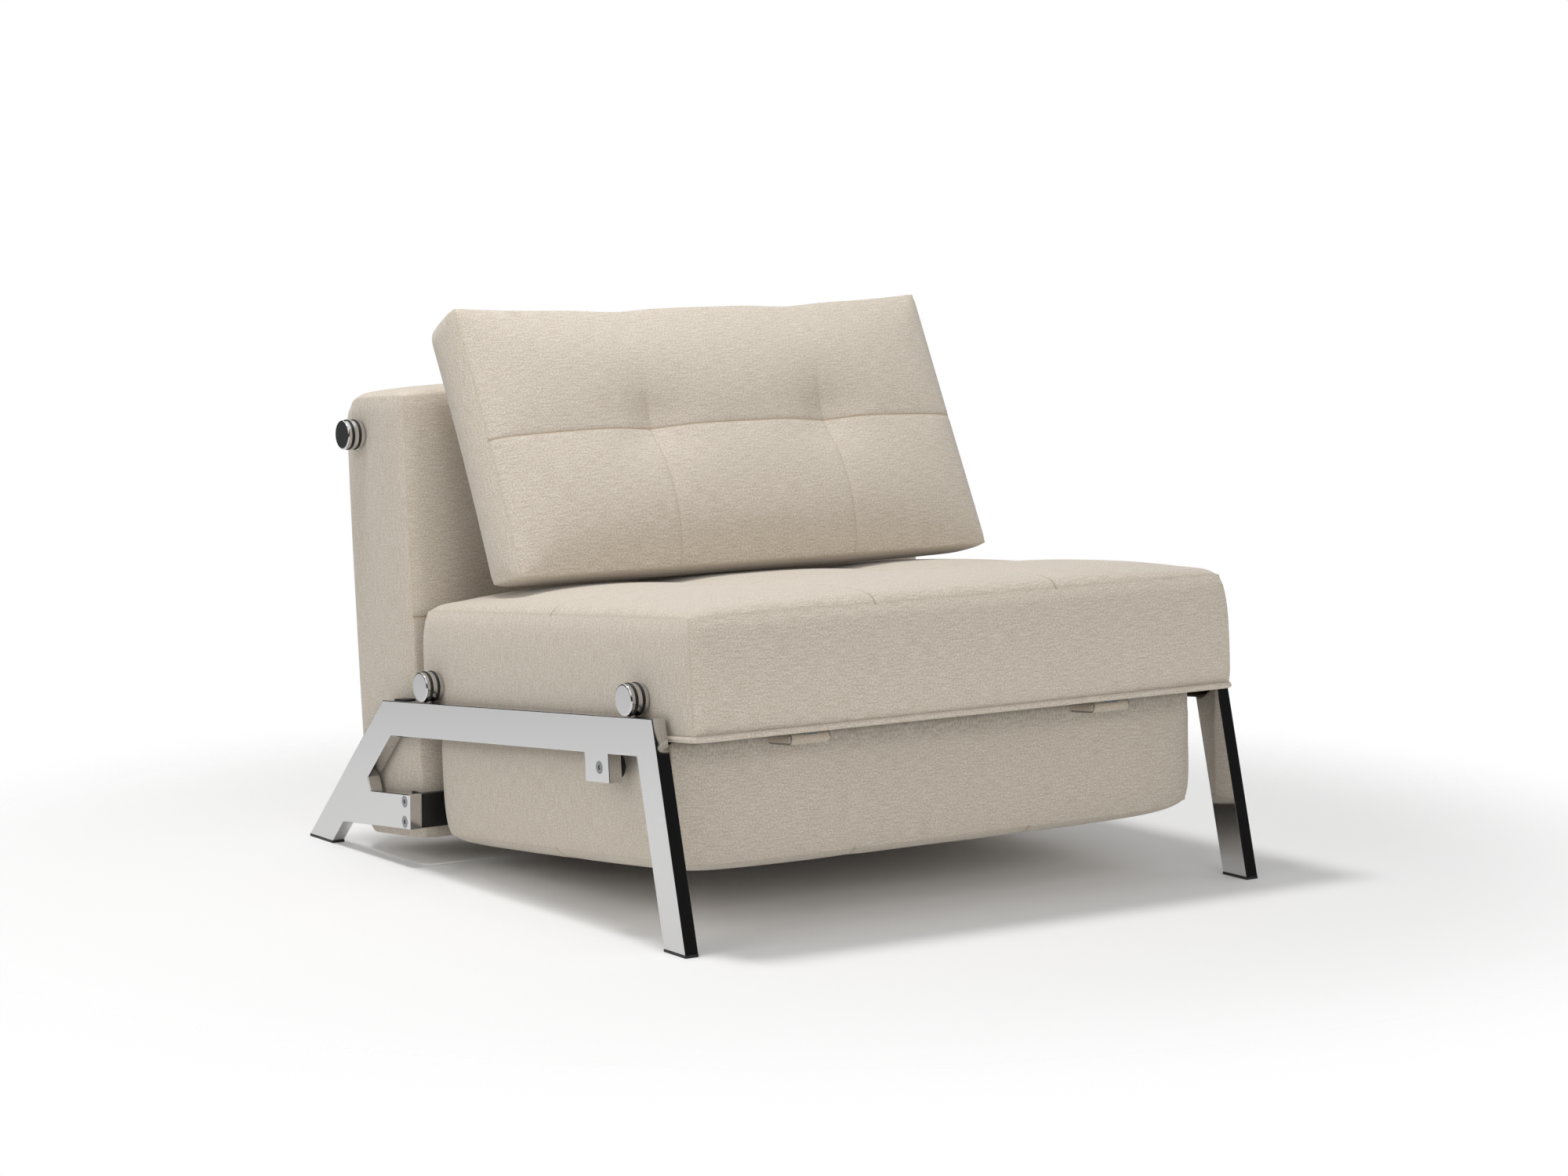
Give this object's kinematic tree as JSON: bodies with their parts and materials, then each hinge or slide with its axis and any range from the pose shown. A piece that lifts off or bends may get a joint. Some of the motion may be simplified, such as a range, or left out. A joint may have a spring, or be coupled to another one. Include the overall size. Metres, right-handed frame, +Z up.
{
  "type": "convertible chair bed",
  "caption": "Armless lounge chair that unfolds into a single bed: folding mattress sections hung by chrome knobs between bent steel side frames, with a loose tufted cushion.",
  "frame": {"origin": "on the floor, midway between the front and rear feet and between the two side frames", "axes": "+X to the right of someone facing the chair from behind it (across the chair), +Y from front to back, +Z up; the sitter faces -Y"},
  "size_m": [0.9566, 1.0376, 0.7949],
  "materials": {
    "steel_chrome": "polished",
    "fabric_beige": "woven",
    "fabric_lining": "woven",
    "elastic_webbing": "woven",
    "timber": "sawn",
    "rubber_black": "matte",
    "plastic_black": "matte",
    "steel_black": "satin",
    "steel_zinc": "zinc plated"
  },
  "bodies": {
    "stand": {"side_frame_left": "steel_chrome", "side_frame_right": "steel_chrome", "foot_pads": "plastic_black", "rear_beam": "steel_black", "buffer_screws": "steel_zinc", "bracket_screws": "steel_zinc", "rail_buffers": "rubber_black", "rail_clips": "plastic_black", "seat_mattress": "fabric_beige", "seat_timber_frame": "timber", "seat_straps": "elastic_webbing", "seat_lining": "fabric_lining", "seat_knobs": "steel_chrome", "seat_knob_rings": "rubber_black", "seat_knob_studs": "steel_zinc", "seat_hinge_leaves": "steel_zinc"},
    "foot": {"foot_mattress": "fabric_beige", "foot_timber_frame": "timber", "foot_straps": "elastic_webbing", "foot_hinge_leaves": "steel_zinc", "fold_hinge_pins": "steel_zinc", "leg_pivot_posts": "steel_zinc"},
    "foot_leg": {"leg_tube": "steel_black", "leg_bushes": "rubber_black"},
    "back_rod": {"back_hem_rod": "steel_zinc"},
    "back": {"back_mattress": "fabric_beige", "back_timber_frame": "timber", "back_straps": "elastic_webbing", "back_lining": "fabric_beige", "back_knobs": "steel_chrome", "back_knob_rings": "rubber_black", "back_knob_studs": "steel_zinc"},
    "cushion_flap": {"cushion_flap": "fabric_beige"},
    "cushion": {"back_cushion": "fabric_beige"}
  },
  "joints": [
    {"name": "foot_unfold", "type": "hinge", "parent": "stand", "child": "foot", "pos_m": [0, -0.46361, 0.2575], "axis": [-1, 0, 0], "range_deg": [0, 180]},
    {"name": "foot_leg_swing", "type": "hinge", "parent": "foot", "child": "foot_leg", "pos_m": [0, 0.12192, 0.18143], "axis": [-1, 0, 0], "range_deg": [0, 90]},
    {"name": "back_lift", "type": "slide", "parent": "stand", "child": "back_rod", "axis": [0, 0.0508, 0.9987], "range_m": [0, 0.3047]},
    {"name": "back_recline", "type": "hinge", "parent": "back_rod", "child": "back", "pos_m": [0, 0.23641, 0.04858], "axis": [-1, 0, 0], "range_deg": [0, 90]},
    {"name": "cushion_settle", "type": "hinge", "parent": "back", "child": "cushion_flap", "pos_m": [0, 0.26997, 0.63594], "axis": [1, 0, 0], "range_deg": [0, 13.55]},
    {"name": "cushion_lift", "type": "slide", "parent": "cushion_flap", "child": "cushion", "axis": [0, -0.8949, 0.4462], "range_m": [0, 0.45]}
  ],
  "couplings": [
    {"joint": "foot_leg_swing", "follows": "foot_unfold", "ratio": 0.5},
    {"joint": "back_lift", "follows": "back_recline", "m_per_rad": 0.19368},
    {"joint": "cushion_settle", "follows": "back_recline", "ratio": 0.15}
  ]
}
